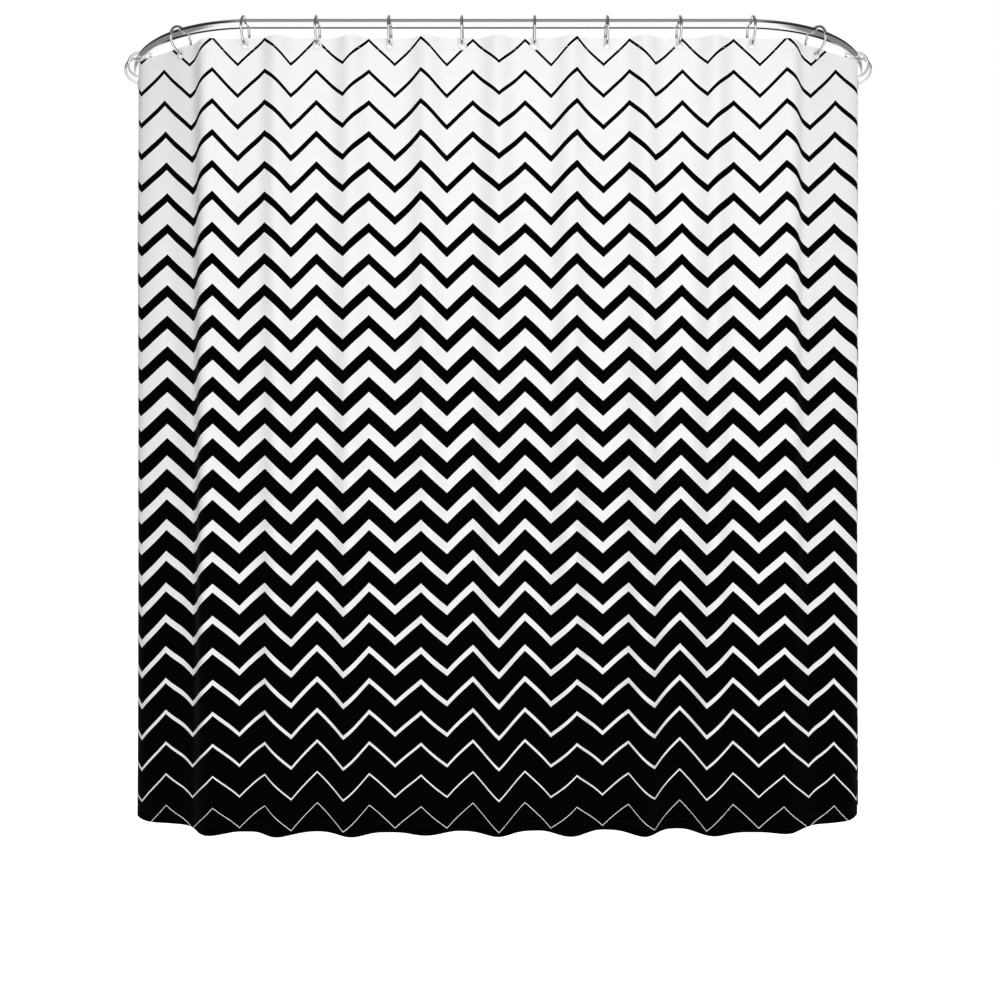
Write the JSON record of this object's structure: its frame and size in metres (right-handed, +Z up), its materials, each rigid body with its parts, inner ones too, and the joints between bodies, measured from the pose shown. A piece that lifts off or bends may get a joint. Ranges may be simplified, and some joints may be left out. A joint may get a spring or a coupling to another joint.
{
  "type": "shower curtain",
  "caption": "Tall printed cloth shower curtain with eyelets, hung by open wire rings on a U-shaped chromed rod that stands out from a wall and wraps both corners.",
  "frame": {"origin": "middle of the bottom of the whole object's box: at the height of the cloth's hem, half way across, and half way from the curtain's front to the wall", "axes": "+X to the viewer's right along the front of the curtain, +Y towards the wall that the rod's ends are fixed to, +Z up"},
  "size_m": [1.916, 0.783, 1.8601],
  "materials": {
    "chrome": "polished",
    "screw_steel": "bright zinc",
    "eyelet_plastic": "smooth",
    "printed_cloth": "plain-woven polyester, printed with black zigzag rows that grow heavier down the cloth"
  },
  "bodies": {
    "rod_and_front": {"curtain_rod": "chrome", "wall_flange_left": "chrome", "wall_flange_right": "chrome", "flange_screw_left_1": "screw_steel", "flange_screw_left_2": "screw_steel", "flange_screw_left_3": "screw_steel", "flange_screw_right_1": "screw_steel", "flange_screw_right_2": "screw_steel", "flange_screw_right_3": "screw_steel", "cloth_front": "printed_cloth", "cloth_left_shoulder": "printed_cloth", "cloth_right_shoulder": "printed_cloth", "eyelet_04": "eyelet_plastic", "eyelet_05": "eyelet_plastic", "eyelet_06": "eyelet_plastic", "eyelet_07": "eyelet_plastic", "eyelet_08": "eyelet_plastic", "eyelet_09": "eyelet_plastic", "eyelet_10": "eyelet_plastic", "eyelet_11": "eyelet_plastic"},
    "left_corner": {"eyelet_03": "eyelet_plastic", "cloth_left_corner": "printed_cloth"},
    "left_end": {"eyelet_01": "eyelet_plastic", "eyelet_02": "eyelet_plastic", "cloth_left_end": "printed_cloth"},
    "right_corner": {"eyelet_12": "eyelet_plastic", "cloth_right_corner": "printed_cloth"},
    "right_end": {"eyelet_13": "eyelet_plastic", "eyelet_14": "eyelet_plastic", "cloth_right_end": "printed_cloth"},
    "ring_01": {"ring_01": "chrome"},
    "ring_02": {"ring_02": "chrome"},
    "ring_03": {"ring_03": "chrome"},
    "ring_04": {"ring_04": "chrome"},
    "ring_05": {"ring_05": "chrome"},
    "ring_06": {"ring_06": "chrome"},
    "ring_07": {"ring_07": "chrome"},
    "ring_08": {"ring_08": "chrome"},
    "ring_09": {"ring_09": "chrome"},
    "ring_10": {"ring_10": "chrome"},
    "ring_11": {"ring_11": "chrome"},
    "ring_12": {"ring_12": "chrome"},
    "ring_13": {"ring_13": "chrome"},
    "ring_14": {"ring_14": "chrome"}
  },
  "joints": [
    {"name": "left_draw", "type": "hinge", "parent": "rod_and_front", "child": "left_corner", "pos_m": [-0.552, 0.01637, 1.8291], "axis": [0, 0, 1], "range_deg": [0, 11], "deforming": ["cloth_left_shoulder"]},
    {"name": "left_end_draw", "type": "hinge", "parent": "left_corner", "child": "left_end", "pos_m": [-0.552, 0.01637, 1.8291], "axis": [0, 0, 1], "range_deg": [0, 16.5], "deforming": ["cloth_left_corner"]},
    {"name": "right_draw", "type": "hinge", "parent": "rod_and_front", "child": "right_corner", "pos_m": [0.552, 0.01637, 1.8291], "axis": [0, 0, -1], "range_deg": [0, 11], "deforming": ["cloth_right_shoulder"]},
    {"name": "right_end_draw", "type": "hinge", "parent": "right_corner", "child": "right_end", "pos_m": [0.552, 0.01637, 1.8291], "axis": [0, 0, -1], "range_deg": [0, 16.5], "deforming": ["cloth_right_corner"]},
    {"name": "ring_01_turn", "type": "hinge", "parent": "left_end", "child": "ring_01", "pos_m": [-0.89047, -0.14507, 1.8129], "axis": [0.4305, -0.9026, 0], "continuous": true},
    {"name": "ring_02_turn", "type": "hinge", "parent": "left_end", "child": "ring_02", "pos_m": [-0.87174, -0.17957, 1.8129], "axis": [0.165, -0.9863, 0], "continuous": true},
    {"name": "ring_03_turn", "type": "hinge", "parent": "left_corner", "child": "ring_03", "pos_m": [-0.73323, -0.31193, 1.8129], "axis": [0.8755, -0.4833, 0], "continuous": true},
    {"name": "ring_04_turn", "type": "hinge", "parent": "rod_and_front", "child": "ring_04", "pos_m": [-0.57294, -0.35805, 1.8129], "axis": [0.9984, -0.0558, 0], "continuous": true},
    {"name": "ring_05_turn", "type": "hinge", "parent": "rod_and_front", "child": "ring_05", "pos_m": [-0.40925, -0.35863, 1.8129], "axis": [1, 0, 0], "continuous": true},
    {"name": "ring_06_turn", "type": "hinge", "parent": "rod_and_front", "child": "ring_06", "pos_m": [-0.24555, -0.35863, 1.8129], "axis": [1, 0, 0], "continuous": true},
    {"name": "ring_07_turn", "type": "hinge", "parent": "rod_and_front", "child": "ring_07", "pos_m": [-0.08185, -0.35863, 1.8129], "axis": [1, 0, 0], "continuous": true},
    {"name": "ring_08_turn", "type": "hinge", "parent": "rod_and_front", "child": "ring_08", "pos_m": [0.08185, -0.35863, 1.8129], "axis": [1, 0, 0], "continuous": true},
    {"name": "ring_09_turn", "type": "hinge", "parent": "rod_and_front", "child": "ring_09", "pos_m": [0.24555, -0.35863, 1.8129], "axis": [1, 0, 0], "continuous": true},
    {"name": "ring_10_turn", "type": "hinge", "parent": "rod_and_front", "child": "ring_10", "pos_m": [0.40925, -0.35863, 1.8129], "axis": [1, 0, 0], "continuous": true},
    {"name": "ring_11_turn", "type": "hinge", "parent": "rod_and_front", "child": "ring_11", "pos_m": [0.57294, -0.35805, 1.8129], "axis": [0.9984, 0.0558, 0], "continuous": true},
    {"name": "ring_12_turn", "type": "hinge", "parent": "right_corner", "child": "ring_12", "pos_m": [0.73323, -0.31193, 1.8129], "axis": [0.8755, 0.4833, 0], "continuous": true},
    {"name": "ring_13_turn", "type": "hinge", "parent": "right_end", "child": "ring_13", "pos_m": [0.87174, -0.17957, 1.8129], "axis": [0.165, 0.9863, 0], "continuous": true},
    {"name": "ring_14_turn", "type": "hinge", "parent": "right_end", "child": "ring_14", "pos_m": [0.89047, -0.14507, 1.8129], "axis": [0.4305, 0.9026, 0], "continuous": true}
  ],
  "couplings": [
    {"joint": "left_end_draw", "follows": "left_draw", "ratio": 1.5},
    {"joint": "right_end_draw", "follows": "right_draw", "ratio": 1.5}
  ]
}
